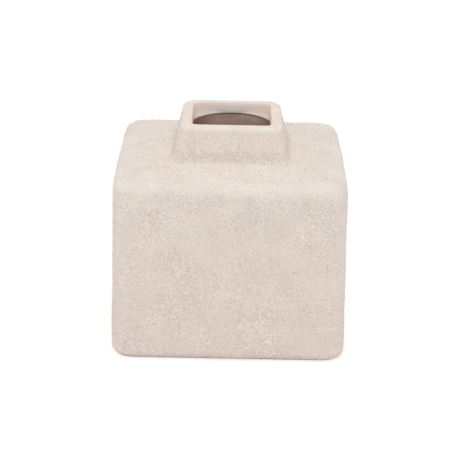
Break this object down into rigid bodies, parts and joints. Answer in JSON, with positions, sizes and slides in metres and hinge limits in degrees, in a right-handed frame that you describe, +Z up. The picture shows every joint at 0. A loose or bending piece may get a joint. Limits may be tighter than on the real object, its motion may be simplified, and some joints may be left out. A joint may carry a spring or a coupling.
{
  "type": "cube vase",
  "caption": "Near-cubic slab-built stoneware vase with rounded edges, a sandy surface, a short square neck that leans in, and a round mouth inside a square lip.",
  "frame": {"origin": "middle of the flat underside of the base slab", "axes": "+Z up along the upright axis of the vase, front face toward -Y, +X to the right seen from the front"},
  "size_m": [0.1518, 0.1518, 0.1426],
  "materials": {
    "sandy_clay": "matt, sandy grit",
    "smooth_clay": "matt, smoothed with a wet finger",
    "bare_clay": "bare brown clay under a thin clear glaze"
  },
  "bodies": {
    "root": {"base_slab": "sandy_clay", "front_wall": "sandy_clay", "right_wall": "sandy_clay", "back_wall": "sandy_clay", "left_wall": "sandy_clay", "shoulder_slab": "sandy_clay", "neck_front": "sandy_clay", "neck_right": "sandy_clay", "neck_back": "sandy_clay", "neck_left": "sandy_clay", "neck_coil": "sandy_clay", "mouth_plate": "smooth_clay", "lip_front": "smooth_clay", "lip_right": "smooth_clay", "lip_back": "smooth_clay", "lip_left": "smooth_clay", "floor_coil": "bare_clay", "ceiling_coil": "bare_clay", "corner_coil_front_left": "bare_clay", "corner_coil_front_right": "bare_clay", "corner_coil_back_right": "bare_clay", "corner_coil_back_left": "bare_clay"}
  },
  "joints": []
}
